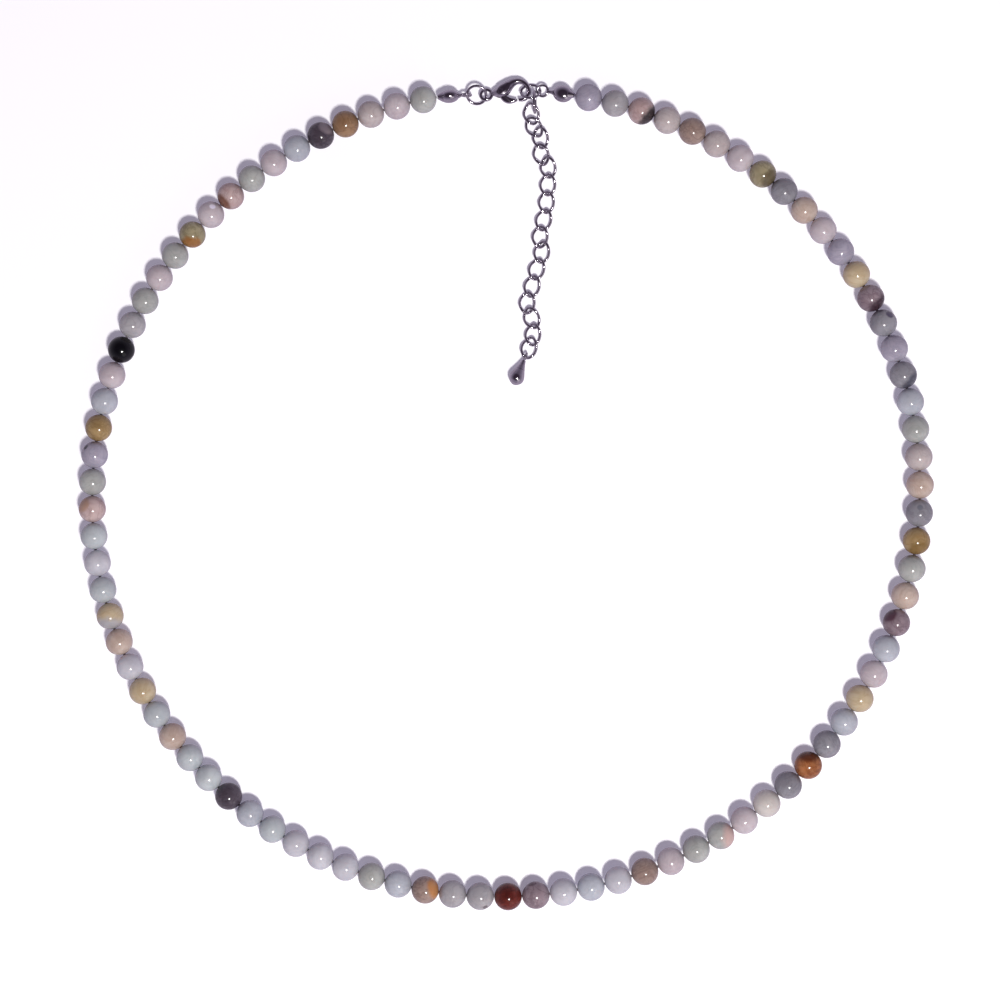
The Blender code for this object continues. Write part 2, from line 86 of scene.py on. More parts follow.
# The beads in order, from the right of the clasp round to its left
BEAD_ORDER = (
    "lilac grey", "smoke grey", "rosy tan", "warm grey", "taupe", "warm grey", "blush", "olive",
    "slate", "peach", "blush", "lilac grey", "cream", "mauve", "slate", "lilac grey",
    "slate", "sky", "celadon", "warm grey", "peach", "slate", "ochre", "celadon",
    "peach", "mauve", "sky", "blush", "cream", "sky", "slate", "carnelian",
    "slate", "pearl", "blush", "celadon", "celadon", "blush", "taupe", "snow",
    "sky", "snow", "mauve", "oxblood", "smoke grey", "smoke grey", "taupe", "sky",
    "celadon", "snow", "snow", "snow", "aqua", "sky", "plum", "aqua",
    "aqua", "peach", "aqua", "cream", "snow", "peach", "cream", "aqua",
    "snow", "aqua", "rosy tan", "celadon", "lilac grey", "ochre", "sky", "blush",
    "onyx", "smoke grey", "celadon", "blush", "celadon", "olive", "blush", "rosy tan",
    "celadon", "blush", "sky", "plum", "amber", "warm grey", "blush", "celadon",
)

# Patches on single beads: the bead's number, the patch's colour, which way it lies as seen from
# above (0 is right and 90 is up), how far from the middle, in degrees, and how wide it is
PATCHES = (
    (3, (56, 47, 50), -40, 88, 64),
    (8, (98, 88, 68), -40, 60, 48),
    (14, (62, 44, 54), -45, 82, 60),
    (15, (88, 82, 100), 50, 45, 18),
    (17, (80, 80, 92), -40, 75, 50),
    (22, (112, 114, 124), 85, 20, 13),
    (23, (122, 98, 60), -75, 58, 50),
    (26, (84, 58, 70), 135, 52, 34),
    (32, (92, 46, 22), 90, 62, 50),
    (36, (184, 160, 156), 0, 78, 66),
    # Bead 43's patch is a darker zone along its upper edge, beside its shadow
    (43, (100, 82, 92), 104, 66, 18),
    (45, (110, 102, 106), -60, 60, 11),
    (47, (172, 124, 82), 10, 66, 48),
    (63, (158, 156, 160), -90, 76, 66),
    (67, (164, 136, 122), 155, 42, 36),
    (69, (84, 82, 90), 135, 48, 12),
    (78, (140, 100, 58), -90, 66, 48),
    (79, (222, 216, 230), 60, 34, 14),
    (80, (116, 82, 70), -135, 66, 46),
    (84, (122, 112, 120), 45, 50, 36),
)

# For a bead with no patch: one too narrow to show, on its underside
NO_PATCH = ((0, 0, 0), 0, 180, 0.5)

# How the extender's first link, which stands on edge, is pitched, rolled and turned, in degrees
FIRST_LINK = (2, 89, 1)

# How each curb link after it is turned on the table and rolled, in degrees
LINK_TURNS = (
    (11, 0), (33, 3), (8, 1), (14, 5), (9, -3), (-3, -1), (-3, 1), (-16, 0),
    (-5, 5), (-9, -2), (-18, 0), (-14, 2), (-4, 0), (22, -2), (-5, 0), (-16, 0),
)

# The clasp's arm and hook, in millimetres from the middle of its eye: along, across, half width
HOOK_PATH = (
    (0.82, 0.18, 0.34), (1.46, 0.28, 0.64), (2.20, 0.39, 0.98), (2.98, 0.82, 1.08),
    (3.87, 1.63, 0.84), (4.76, 2.13, 0.60), (5.68, 2.17, 0.48), (6.50, 1.74, 0.40),
    (6.97, 1.10, 0.37), (7.10, 0.36, 0.36), (6.83, -0.32, 0.36), (6.25, -0.82, 0.34),
    (5.40, -0.92, 0.27),
)

# The lever, in the same way, from its boss to its nose
LEVER_PATH = (
    (2.45, 0.36, 0.42), (2.84, -0.43, 0.50), (3.55, -0.94, 0.56), (4.26, -1.04, 0.46),
    (4.84, -0.99, 0.30), (5.16, -0.94, 0.18),
)

# In millimetres from the middle of the clasp's eye: the rivet, two corners of the lever's slot, and
# half the heights of the housing and of the lever
RIVET_PLACE = (2.45, 0.36, 0)
LEVER_SLOT = ((1.75, -1.5, -0.42), (4.0, 0.98, 0.42))
HOUSING_HALF = 0.95
LEVER_HALF = 0.34

# The clasp's other measures: how much deeper than wide the housing is before it is cut flat, its
# eye, the rounding of its edges, the rivet with its heads and hole, and the lever's boss
HOUSING_DEEPENED = 1.15
EYE_RADIUS = 0.92 * MM
EYE_WIRE = 0.52 * MM
EYE_TILT = math.radians(-12)
CLASP_ROUNDING = 0.05 * MM
RIVET_RADIUS = 0.24 * MM
RIVET_HOLE_RADIUS = 0.3 * MM
HEAD_RADIUS = 0.4 * MM
HEAD_THICKNESS = 0.09 * MM
HEAD_ROUNDING = 0.035 * MM
BOSS_RADIUS = 0.55 * MM
BOSS_THICKNESS = 0.72 * MM

# Where a ring's or link's ends meet, the width of the cut, and the points that its wire is led by
RING_CUT = 0.03 * MM
RING_POINTS = 16

# The tips: how far the collar's mouth clears the string, how far the cups stand off that mouth, how
# long they are, how high their middles and the loops' lie, and the loops' wire
MOUTH_CLEARANCE = 0.18 * MM
TIP_STAND_OFF = 0.32 * MM
TIP_LENGTH = 3.3 * MM
TIP_HEIGHT = 1.7 * MM
TIP_LOOP_HEIGHT = 1.15 * MM
TIP_LOOP_WIRE = 0.4 * MM

# Half the width and the depth of the seam between the cups, as shares of the cups' width, and the
# radii of the tongue, from the cups to the loop, and of the collar
SEAM_HALF = 0.04
SEAM_DEPTH = 0.035
TONGUE_RADII = (0.5 * MM, 0.42 * MM, 0.3 * MM, 0.27 * MM)
COLLAR_RADII = (0.85 * MM, 0.38 * MM)

# Each tip: its side, which way the string runs to it, how far its loop lies inside its box and off
# the eye's line, the loop's tilt and radius, and how wide and deep its cups are
TIPS = (
    ("left", -1, 1.0 * MM, 0.0, math.pi / 2, 0.8 * MM, 2.2 * MM, 2.8 * MM),
    ("right", 1, 1.1 * MM, 0.52 * MM, math.radians(16), 0.9 * MM, 2.8 * MM, 2.2 * MM),
)

# The drop's outline: along from its thin end as a share of its length, and radius as a share of
# the largest
DROP_OUTLINE = (
    (0.00, 0.28), (0.10, 0.36), (0.20, 0.46), (0.32, 0.60), (0.42, 0.72), (0.58, 0.92),
    (0.71, 1.00), (0.80, 0.95), (0.88, 0.79), (0.95, 0.52), (0.985, 0.28),
)

# The beads' small differences: how far each is turned on the thread after the last, in radians,
# and the most that one is narrower and shorter than a ball, as shares; and the rounding of the
# rims of their holes
BEAD_TURN = 2.4
BEAD_NARROWER = 0.016
BEAD_SHORTER = 0.02
RIM_ROUNDING = 0.06 * MM

# How fine the stones' figure and the metal's marks are, as noise scales per metre
CLOUD_SCALE = 230.0
MOTTLE_SCALE = 900.0
VEIN_SCALE = 310.0
PATCH_EDGE_SCALE = 700.0
POLISH_SCALE = 5200.0
DULL_SCALE = 650.0
SCRATCH_SCALE = 1500.0
RIB_SCALE = 2600.0

# The stage: the table's width, the key light's place, width and colour, the sky's colours at two
# heights, and the bright panel in it, with its way, the edges of its glow and its colour
TABLE_SIZE = 3.0
KEY_PLACE = (0.19, -0.345, 0.74)
KEY_WIDTH = 0.11
KEY_COLOUR = (1.0, 0.985, 0.96)
SKY = ((0.1, (0.62, 0.56, 0.72)), (0.8, (0.075, 0.055, 0.085)))
PANEL_WAY = (0.48, -0.76, 0.44)
PANEL_EDGES = (0.93, 0.985)
PANEL_COLOUR = (1.3, 1.25, 1.3)


def linear(colour):
    """A 0 to 255 screen colour as the linear colour that the shaders use."""
    shares = [part / 255 for part in colour]
    return tuple(c / 12.92 if c <= 0.04045 else ((c + 0.055) / 1.055) ** 2.4 for c in shares)


def opaque(colour):
    """The colour with full alpha, as a colour socket holds it."""
    return (*colour, 1.0)


class NecklaceBeads(bpy.types.PropertyGroup):
    diameter: bpy.props.FloatProperty(
        name="Bead diameter", description="Across one bead",
        default=0.00448, unit="LENGTH", precision=5,
    )
    space: bpy.props.FloatProperty(
        name="Space", description="Between one bead and the next along the thread", default=0.00004,
        unit="LENGTH", precision=5,
    )
    hole: bpy.props.FloatProperty(
        name="Drilled hole", description="Across the hole through each bead", default=0.0009,
        unit="LENGTH", precision=5,
    )
    each_side: bpy.props.IntProperty(
        name="Beads on each side", description="From the front middle to the clasp",
        default=44, min=1,
    )
    thread: bpy.props.FloatProperty(
        name="Thread", description="Across the thread that holds the beads", default=0.00045,
        unit="LENGTH", precision=5,
    )
    thread_colour: bpy.props.FloatVectorProperty(
        name="Thread colour", description="Of the braided thread", default=linear((112, 102, 112)),
        subtype="COLOR", size=3, min=0, max=1,
    )
    polish: bpy.props.FloatProperty(
        name="Polish", description="Roughness of the polished stone", default=0.13, min=0, max=1
    )


class NecklaceLoop(bpy.types.PropertyGroup):
    length: bpy.props.FloatProperty(
        name="Loop length", description="Round the middle of the fastened loop", default=0.42083,
        unit="LENGTH", precision=5,
    )
    ovalness: bpy.props.FloatProperty(
        name="Ovalness", description="How much the long radius passes the mean one",
        default=0.0146, precision=4,
    )
    turn: bpy.props.FloatProperty(
        name="Turn", description="Of the oval's long way",
        default=math.radians(6.2), subtype="ANGLE",
    )
    front_lean: bpy.props.FloatProperty(
        name="Front lean", description="How far the string's middle lies left of the lowest point",
        default=math.radians(0.25), subtype="ANGLE",
    )


class NecklaceMetal(bpy.types.PropertyGroup):
    colour: bpy.props.FloatVectorProperty(
        name="Metal colour", description="Of the polished metal", default=linear((182, 174, 184)),
        subtype="COLOR", size=3, min=0, max=1,
    )
    worn_colour: bpy.props.FloatVectorProperty(
        name="Dull colour", description="Where handling has dulled the metal",
        default=linear((142, 132, 144)), subtype="COLOR", size=3, min=0, max=1,
    )
    polish: bpy.props.FloatProperty(
        name="Polish", description="Roughness of the polished metal", default=0.11, min=0, max=1
    )
    jump_ring_radius: bpy.props.FloatProperty(
        name="Jump ring", description="Radius of the middle of its wire", default=0.0016,
        unit="LENGTH", precision=5,
    )
    jump_ring_wire: bpy.props.FloatProperty(
        name="Jump ring wire", description="Across the wire",
        default=0.00044, unit="LENGTH", precision=5,
    )
    jump_ring_tilt: bpy.props.FloatProperty(
        name="Jump ring tilt", description="Up on its far side",
        default=math.radians(34), subtype="ANGLE",
    )
    catch_ring_radius: bpy.props.FloatProperty(
        name="Catch ring", description="Radius of the middle of its wire", default=0.0016,
        unit="LENGTH", precision=5,
    )
    catch_ring_wire: bpy.props.FloatProperty(
        name="Catch ring wire", description="Across the wire",
        default=0.00042, unit="LENGTH", precision=5,
    )
    catch_ring_tilt: bpy.props.FloatProperty(
        name="Catch ring tilt", description="Up on its far side",
        default=math.radians(-37), subtype="ANGLE",
    )
    link_width: bpy.props.FloatProperty(
        name="Link width", description="Between the middles of its two sides", default=0.00244,
        unit="LENGTH", precision=5,
    )
    link_length: bpy.props.FloatProperty(
        name="Link length", description="Between the middles of its two ends", default=0.00348,
        unit="LENGTH", precision=5,
    )
    link_wire: bpy.props.FloatProperty(
        name="Link wire", description="Across the wire", default=0.00042, unit="LENGTH", precision=5
    )
    link_twist: bpy.props.FloatProperty(
        name="Link twist", description="Of each end of a link",
        default=math.radians(40), subtype="ANGLE",
    )


class NecklaceStage(bpy.types.PropertyGroup):
    distance: bpy.props.FloatProperty(
        name="Camera distance", description="From the middle of the necklace", default=0.45,
        unit="LENGTH", precision=3,
    )
    view_width: bpy.props.FloatProperty(
        name="View width", description="What the camera sees across at that distance",
        default=0.16335, unit="LENGTH", precision=4,
    )
    lean_right: bpy.props.FloatProperty(
        name="Lean right", description="Of the camera from straight above",
        default=math.radians(5.62), subtype="ANGLE",
    )
    lean_near: bpy.props.FloatProperty(
        name="Lean near", description="Of the camera towards the front", default=math.radians(3.90),
        subtype="ANGLE",
    )
    aim: bpy.props.FloatVectorProperty(
        name="Aim", description="The point that the camera looks at",
        default=(0.0, -0.001743, 0.00224), subtype="TRANSLATION", size=3, precision=5,
    )
    key_power: bpy.props.FloatProperty(
        name="Key light", description="Watts of the small light at the lower right",
        default=6.8, min=0,
    )
    sky_power: bpy.props.FloatProperty(
        name="Sky", description="Strength of the soft light from all round", default=0.72, min=0
    )
    glow_colour: bpy.props.FloatVectorProperty(
        name="Table glow", description="Colour of the light that the pale table gives off",
        default=(0.80, 0.75, 0.96), subtype="COLOR", size=3, min=0, max=1,
    )
    glow: bpy.props.FloatProperty(
        name="Glow", description="Strength of the table's own light", default=0.22, min=0
    )
    floor_colour: bpy.props.FloatVectorProperty(
        name="Floor colour", description="Of the pale table", default=(0.93, 0.93, 0.93),
        subtype="COLOR", size=3, min=0, max=1,
    )
    bounce_colour: bpy.props.FloatVectorProperty(
        name="Bounce colour", description="Of the light that the table throws back at the necklace",
        default=(0.42, 0.39, 0.45), subtype="COLOR", size=3, min=0, max=1,
    )


# Working with Blender's operators


def choose(obj):
    bpy.ops.object.select_all(action="DESELECT")
    obj.select_set(True)
    bpy.context.view_layer.objects.active = obj


def apply_modifier(obj, kind, **values):
    modifier = obj.modifiers.new(kind.title(), kind)
    for key, value in values.items():
        setattr(modifier, key, value)
    choose(obj)
    bpy.ops.object.modifier_apply(modifier=modifier.name)


def round_edges(obj, width, sharpest):
    """Rounds the edges that bend by more than this angle in degrees."""
    apply_modifier(
        obj, "BEVEL", width=width, segments=2, limit_method="ANGLE",
        angle_limit=math.radians(sharpest),
    )


def cut_or_join(obj, tool, operation):
    """Joins the tool to the piece or cuts it away, and removes the tool."""
    apply_modifier(obj, "BOOLEAN", operation=operation, object=tool, solver="MANIFOLD")
    bpy.data.objects.remove(tool)
    if not obj.data.polygons:
        raise RuntimeError(f"nothing is left of {obj.name} after a tool was used on it")


def clean_up(obj):
    """Closes the seams of a new mesh and turns its faces outwards."""
    choose(obj)
    bpy.ops.object.mode_set(mode="EDIT")
    bpy.ops.mesh.select_all(action="SELECT")
    bpy.ops.mesh.remove_doubles(threshold=0.002 * MM)
    bpy.ops.mesh.normals_make_consistent(inside=False)
    bpy.ops.object.mode_set(mode="OBJECT")


def smooth(obj, angle):
    choose(obj)
    bpy.ops.object.shade_smooth_by_angle(angle=math.radians(angle))


def settle(obj, matrix=None):
    """Puts the piece's place into its mesh and leaves its object at the origin."""
    choose(obj)
    bpy.ops.object.transform_apply(location=True, rotation=True, scale=True)
    if matrix is not None:
        obj.data.transform(matrix)


def copy_of(pattern, matrix):
    piece = pattern.copy()
    piece.data = pattern.data.copy()
    piece.data.transform(matrix)
    bpy.context.scene.collection.objects.link(piece)
    return piece


def hand_over(piece, name, material, nodes, body="necklace"):
    piece.name = name
    piece.data.name = name
    piece.data.materials.clear()
    piece.data.materials.append(material)
    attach(piece, body)
    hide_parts(*nodes)


def wire_piece(places, radii, steps=5, roundness=4):
    """A smooth wire through the places, each radius in metres, made a mesh."""
    bpy.ops.curve.primitive_bezier_curve_add()
    piece = bpy.context.object
    curve = piece.data
    curve.dimensions = "3D"
    curve.bevel_depth = MM
    curve.bevel_resolution = roundness
    curve.resolution_u = steps
    curve.use_fill_caps = True
    spline = curve.splines[0]
    spline.bezier_points.add(len(places) - 2)
    spline.radius_interpolation = "CARDINAL"
    for point, place, radius in zip(spline.bezier_points, places, radii):
        point.co = place
        point.radius = radius / MM
        point.handle_left_type = "AUTO"
        point.handle_right_type = "AUTO"
    bpy.ops.object.convert(target="MESH")
    clean_up(piece)
    return piece


def ring_places(half_width, half_length, twist):
    """Places round a ring or link that lies flat, from one side of its cut to the other."""
    places = []
    gap = RING_CUT / half_length
    for index in range(RING_POINTS):
        angle = gap / 2 + (2 * math.pi - gap) * index / (RING_POINTS - 1)
        lean = twist * math.sin(angle)
        across = half_width * math.cos(angle)
        along = half_length * math.sin(angle)
        places.append((across * math.cos(lean), along, across * math.sin(lean)))
    return places


def ring_piece(half_width, half_length, wire, twist=0.0):
    """A ring or link of round wire, its ends butted together at the middle of one side."""
    places = ring_places(half_width, half_length, twist)
    piece = wire_piece(places, [wire / 2] * len(places), steps=4)
    smooth(piece, 60)
    return piece


def turned(pitch, roll, yaw):
    """Rolled about its length, then pitched, then turned on the table."""
    pitched = Matrix.Rotation(yaw, 4, "Z") @ Matrix.Rotation(pitch, 4, "X")
    return pitched @ Matrix.Rotation(roll, 4, "Y")


def middle_of(node):
    low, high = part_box(node)
    return (low + high) / 2


def clasp_eye():
    """The middle of the clasp's eye, which the rivet's place gives."""
    return middle_of("clasp_rivet") - Vector(RIVET_PLACE) * MM


def cylinder(radius, height, place):
    bpy.ops.mesh.primitive_cylinder_add(vertices=32, radius=radius, depth=height, location=place)
    return bpy.context.object


def at_rivet(radius, height):
    """A cylinder on the rivet's line, for the lever's boss or for cutting the rivet's hole."""
    return cylinder(radius, height, Vector(RIVET_PLACE) * MM)


def block(low, high):
    """A block between two corners, in millimetres, for cutting with."""
    bpy.ops.mesh.primitive_cube_add(size=1, location=(Vector(low) + Vector(high)) / 2 * MM)
    made = bpy.context.object
    made.scale = (Vector(high) - Vector(low)) * MM
    settle(made)
    return made


def flat_arm(path, half_height, deepened=1):
    """A round arm along the path, all in millimetres, with its top and bottom cut flat."""
    places = [Vector((along, across, 0)) * MM for along, across, _ in path]
    arm = wire_piece(places, [half * MM for _, _, half in path], steps=6, roundness=6)
    arm.scale.z = deepened
    settle(arm)
    cut_or_join(arm, block((-20, -20, -half_height), (20, 20, half_height)), "INTERSECT")
    return arm


# The loop that the string follows


def oval_points():
    loop = bpy.context.scene.necklace_loop
    start = -math.pi / 2 - loop.front_lean - loop.turn
    angle = np.linspace(start, start + 2 * math.pi, 2881)
    long_way = (1 + loop.ovalness) * np.cos(angle)
    short_way = (1 - loop.ovalness) * np.sin(angle)
    x = long_way * math.cos(loop.turn) - short_way * math.sin(loop.turn)
    y = long_way * math.sin(loop.turn) + short_way * math.cos(loop.turn)
    along = np.concatenate([[0.0], np.cumsum(np.hypot(np.diff(x), np.diff(y)))])
    size = loop.length / along[-1]
    return x * size, y * size, along * size


def on_string(oval, distance):
    """The place at this distance along the string from its middle, positive to the right."""
    x, y, along = oval
    distance = distance % along[-1]
    height = bpy.context.scene.necklace_beads.diameter / 2
    return Vector((np.interp(distance, along, x), np.interp(distance, along, y), height))


def heading(oval, distance):
    reach = 0.2 * MM
    return (on_string(oval, distance + reach) - on_string(oval, distance - reach)).normalized()


def placed_oval():
    """The oval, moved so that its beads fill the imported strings' box."""
    beads = bpy.context.scene.necklace_beads
    oval = oval_points()
    radius = beads.diameter / 2
    middles = [on_string(oval, distance) for distance in bead_distances()]
    left_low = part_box("bead_string_left")[0]
    right_low, right_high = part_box("bead_string_right")
    high_gap = right_high.x - (max(middle.x for middle in middles) + radius)
    low_gap = left_low.x - (min(middle.x for middle in middles) - radius)
    shift_x = (high_gap + low_gap) / 2
    shift_y = min(left_low.y, right_low.y) - (min(middle.y for middle in middles) - radius)
    x, y, along = oval
    return x + shift_x, y + shift_y, along


def half_string():
    """From the string's middle to the far side of the last bead and its space."""
    beads = bpy.context.scene.necklace_beads
    return beads.each_side * (beads.diameter + beads.space)


def bead_distances():
    """Where each bead's middle lies along the string, from the right of the clasp to its left."""
    beads = bpy.context.scene.necklace_beads
    pitch = beads.diameter + beads.space
    return [(beads.each_side - 0.5 - index) * pitch for index in range(2 * beads.each_side)]


# Shader nodes, and the groups that the materials share

# The mix node's two colour inputs and its colour output, which share their names with others
MIX_FIRST = 6
MIX_SECOND = 7
MIX_RESULT = 2


class Wiring:
    """Adds nodes to one shader tree and joins them."""

    def __init__(self, tree):
        self.tree, self.nodes, self.links = tree, tree.nodes, tree.links

    def give(self, node, inputs):
        """Joins each of these inputs to an output, or sets it to a value."""
        for key, value in inputs.items():
            if hasattr(value, "links"):
                self.links.new(value, node.inputs[key])
            else:
                node.inputs[key].default_value = value

    def add(self, kind, inputs=None, **settings):
        node = self.nodes.new(kind)
        for key, value in settings.items():
            setattr(node, key, value)
        self.give(node, inputs or {})
        return node

    def place(self):
        return self.add("ShaderNodeTexCoord").outputs["Object"]

    def math(self, operation, first, second=None, clamp=False):
        inputs = {0: first} if second is None else {0: first, 1: second}
        return self.add("ShaderNodeMath", inputs, operation=operation, use_clamp=clamp).outputs[0]

    def spread(self, value, middle, width):
        """How far the value is from the middle, times the width."""
        return self.math("MULTIPLY", self.math("SUBTRACT", value, middle), width)

    def blend(self, share, first, second):
        """From the first colour to the second as the share goes from 0 to 1."""
        inputs = {"Factor": share}
        for number, colour in ((MIX_FIRST, first), (MIX_SECOND, second)):
            inputs[number] = colour if hasattr(colour, "links") else opaque(colour)
        return self.add("ShaderNodeMix", inputs, data_type="RGBA").outputs[MIX_RESULT]

    def step(self, value, low, high):
        """0 up to the low edge, 1 from the high edge, and smooth between."""
        inputs = {"Value": value, "From Min": low, "From Max": high}
        node = self.add("ShaderNodeMapRange", inputs, interpolation_type="SMOOTHSTEP")
        return node.outputs["Result"]

    def noise(self, place, scale, detail=4.0, roughness=0.55, distortion=0.0):
        node = self.add("ShaderNodeTexNoise", {
            "Vector": place, "Scale": scale, "Detail": detail, "Roughness": roughness,
            "Distortion": distortion,
        })
        return node.outputs["Fac"]

    def bump(self, height, strength, distance):
        inputs = {"Height": height, "Strength": strength, "Distance": distance}
        return self.add("ShaderNodeBump", inputs).outputs["Normal"]


def new_group(name, colours, values):
    """A group that takes these colours and values and gives a colour, roughness and height."""
    group = bpy.data.node_groups.new(name, "ShaderNodeTree")
    sockets = [(key, "INPUT", "NodeSocketColor") for key in colours]
    sockets += [(key, "INPUT", "NodeSocketFloat") for key in values]
    sockets += [("Color", "OUTPUT", "NodeSocketColor")]
    sockets += [(key, "OUTPUT", "NodeSocketFloat") for key in ("Roughness", "Height")]
    for key, way, kind in sockets:
        group.interface.new_socket(name=key, in_out=way, socket_type=kind)
    wiring = Wiring(group)
    return wiring, wiring.add("NodeGroupInput").outputs


def stone_figure():
    """Clouds, veins and patches in a stone, and a fine grain in its polish."""
    wiring, given = new_group(
        "stone_figure", ("Body", "Cloud", "Vein"), ("Cloud Amount", "Vein Amount", "Polish")
    )
    place = wiring.place()

    broad = wiring.noise(place, CLOUD_SCALE, detail=3.0, distortion=0.6)
    fine = wiring.noise(place, MOTTLE_SCALE, detail=5.0, roughness=0.6)
    clouds = wiring.step(wiring.math("ADD", broad, wiring.spread(fine, 0.5, 0.25)), 0.38, 0.66)
    clouds = wiring.math("MULTIPLY", clouds, given["Cloud Amount"], clamp=True)
    colour = wiring.blend(clouds, given["Body"], given["Cloud"])

    ridges = wiring.noise(place, VEIN_SCALE, detail=6.0, roughness=0.62, distortion=1.4)
    off_ridge = wiring.math("ABSOLUTE", wiring.math("SUBTRACT", ridges, 0.5))
    veins = wiring.math("SUBTRACT", 1.0, wiring.step(off_ridge, 0.0, 0.055))
    veins = wiring.math("MULTIPLY", veins, given["Vein Amount"], clamp=True)
    colour = wiring.blend(veins, colour, given["Vein"])

    patch = wiring.add("ShaderNodeAttribute", attribute_name="patch").outputs
    off_patch = wiring.add("ShaderNodeAttribute", attribute_name="off_patch").outputs["Vector"]
    away = wiring.add("ShaderNodeVectorMath", {0: off_patch}, operation="LENGTH").outputs["Value"]
    near = wiring.math("SUBTRACT", 1.5, wiring.math("DIVIDE", away, patch["Alpha"]), clamp=True)
    ragged = wiring.spread(wiring.noise(place, PATCH_EDGE_SCALE, detail=5.0), 0.5, 0.5)
    edge = wiring.step(wiring.math("ADD", near, ragged), 0.32, 0.78)
    patch_share = wiring.math("MULTIPLY", edge, wiring.step(near, 0.02, 0.2))
    colour = wiring.blend(patch_share, colour, patch["Color"])

    grain = wiring.noise(place, POLISH_SCALE, detail=3.0)
    rough = wiring.math("ADD", given["Polish"], wiring.spread(grain, 0.35, 0.10))
    wiring.add("NodeGroupOutput", {"Color": colour, "Roughness": rough, "Height": fine})
    return wiring.tree


def handling_wear():
    """Dull places and fine scratches on metal, with the roughness and height they bring."""
    wiring, given = new_group("handling_wear", ("Polished", "Dull"), ("Polish", "Wear"))
    place = wiring.place()
    stretched = wiring.add("ShaderNodeMapping", {
        "Vector": place, "Rotation": (0.3, 0.5, 0.8), "Scale": (1.0, 9.0, 3.0),
    }).outputs["Vector"]
    dull = wiring.step(wiring.noise(place, DULL_SCALE), 0.46, 0.72)
    scratch = wiring.step(wiring.noise(stretched, SCRATCH_SCALE, detail=2.0), 0.62, 0.85)
    marked = wiring.math("MAXIMUM", dull, scratch)
    worn = wiring.math("MULTIPLY", marked, given["Wear"], clamp=True)
    wiring.add("NodeGroupOutput", {
        "Color": wiring.blend(worn, given["Polished"], given["Dull"]),
        "Roughness": wiring.math("ADD", given["Polish"], wiring.math("MULTIPLY", worn, 0.12)),
        "Height": wiring.math("SUBTRACT", dull, scratch),
    })
    return wiring.tree


def new_material(name):
    """A new material with the wiring of its tree and its shader."""
    material = bpy.data.materials.new(name)
    material.use_nodes = True
    wiring = Wiring(material.node_tree)
    return material, wiring, wiring.nodes["Principled BSDF"]


def join_group(wiring, shader, build, values, strength):
    """Feeds a shared group to the shader, and builds the group the first time it is asked for."""
    tree = bpy.data.node_groups.get(build.__name__) or build()
    made = wiring.add("ShaderNodeGroup", values, node_tree=tree).outputs
    wiring.give(shader, {
        "Base Color": made["Color"],
        "Roughness": made["Roughness"],
        "Normal": wiring.bump(made["Height"], strength, 0.02 * MM),
    })


def stone_material(name):
    existing = bpy.data.materials.get("stone " + name)
    if existing:
        return existing
    body, cloud, vein, cloud_amount, vein_amount = STONES[name]
    material, wiring, shader = new_material("stone " + name)
    join_group(wiring, shader, stone_figure, {
        "Body": opaque(linear(body)),
        "Cloud": opaque(linear(cloud)),
        "Vein": opaque(linear(vein)),
        "Cloud Amount": cloud_amount,
        "Vein Amount": vein_amount,
        "Polish": bpy.context.scene.necklace_beads.polish,
    }, 0.08)
    wiring.give(shader, {
        "IOR": 1.54,
        "Subsurface Weight": 0.0 if name == "onyx" else 1.0,
        "Subsurface Radius": (1.0, 0.85, 0.8),
        "Subsurface Scale": 3.5 * MM,
        "Specular IOR Level": 0.3,
    })
    return material


def silver_material(name, wear=0.5):
    existing = bpy.data.materials.get(name)
    if existing:
        return existing
    metal = bpy.context.scene.necklace_metal
    material, wiring, shader = new_material(name)
    join_group(wiring, shader, handling_wear, {
        "Polished": opaque(metal.colour),
        "Dull": opaque(metal.worn_colour),
        "Polish": metal.polish,
        "Wear": wear,
    }, 0.15)
    wiring.give(shader, {"Metallic": 1.0})
    return material


def thread_material():
    """Braided thread with fine slanting ribs, and painted shade in the grooves between them."""
    material, wiring, shader = new_material("braided thread")
    ribs = wiring.add(
        "ShaderNodeTexWave", {"Vector": wiring.place(), "Scale": RIB_SCALE, "Distortion": 1.5},
        wave_type="BANDS", bands_direction="DIAGONAL",
    ).outputs["Fac"]
    colour = bpy.context.scene.necklace_beads.thread_colour
    # The grooves between the ribs, where the bump is lowest, are painted darker as shade
    groove_shade_colour = [part * 0.55 for part in colour]
    wiring.give(shader, {
        "Base Color": wiring.blend(ribs, groove_shade_colour, colour),
        "Normal": wiring.bump(ribs, 0.5, 0.03 * MM),
        "Roughness": 0.7,
    })
    return material


# The pieces


def bead_pattern():
    """One drilled bead, its hole along Z: a ball whose open poles are joined through it."""
    beads = bpy.context.scene.necklace_beads
    radius = beads.diameter / 2
    hole = beads.hole / 2
    bpy.ops.mesh.primitive_uv_sphere_add(segments=40, ring_count=26, radius=radius)
    bead = bpy.context.object
    rim = math.sqrt(radius**2 - hole**2)
    bpy.ops.object.mode_set(mode="EDIT")
    for way in (1, -1):
        bpy.ops.mesh.select_all(action="SELECT")
        bpy.ops.mesh.bisect(
            plane_co=(0, 0, way * rim), plane_no=(0, 0, way), clear_outer=True, use_fill=False
        )
    bpy.ops.mesh.select_all(action="DESELECT")
    bpy.ops.mesh.select_non_manifold(extend=False)
    bpy.ops.mesh.bridge_edge_loops(number_cuts=4)
    bpy.ops.object.mode_set(mode="OBJECT")
    clean_up(bead)
    round_edges(bead, RIM_ROUNDING, 40)
    smooth(bead, 60)
    return bead


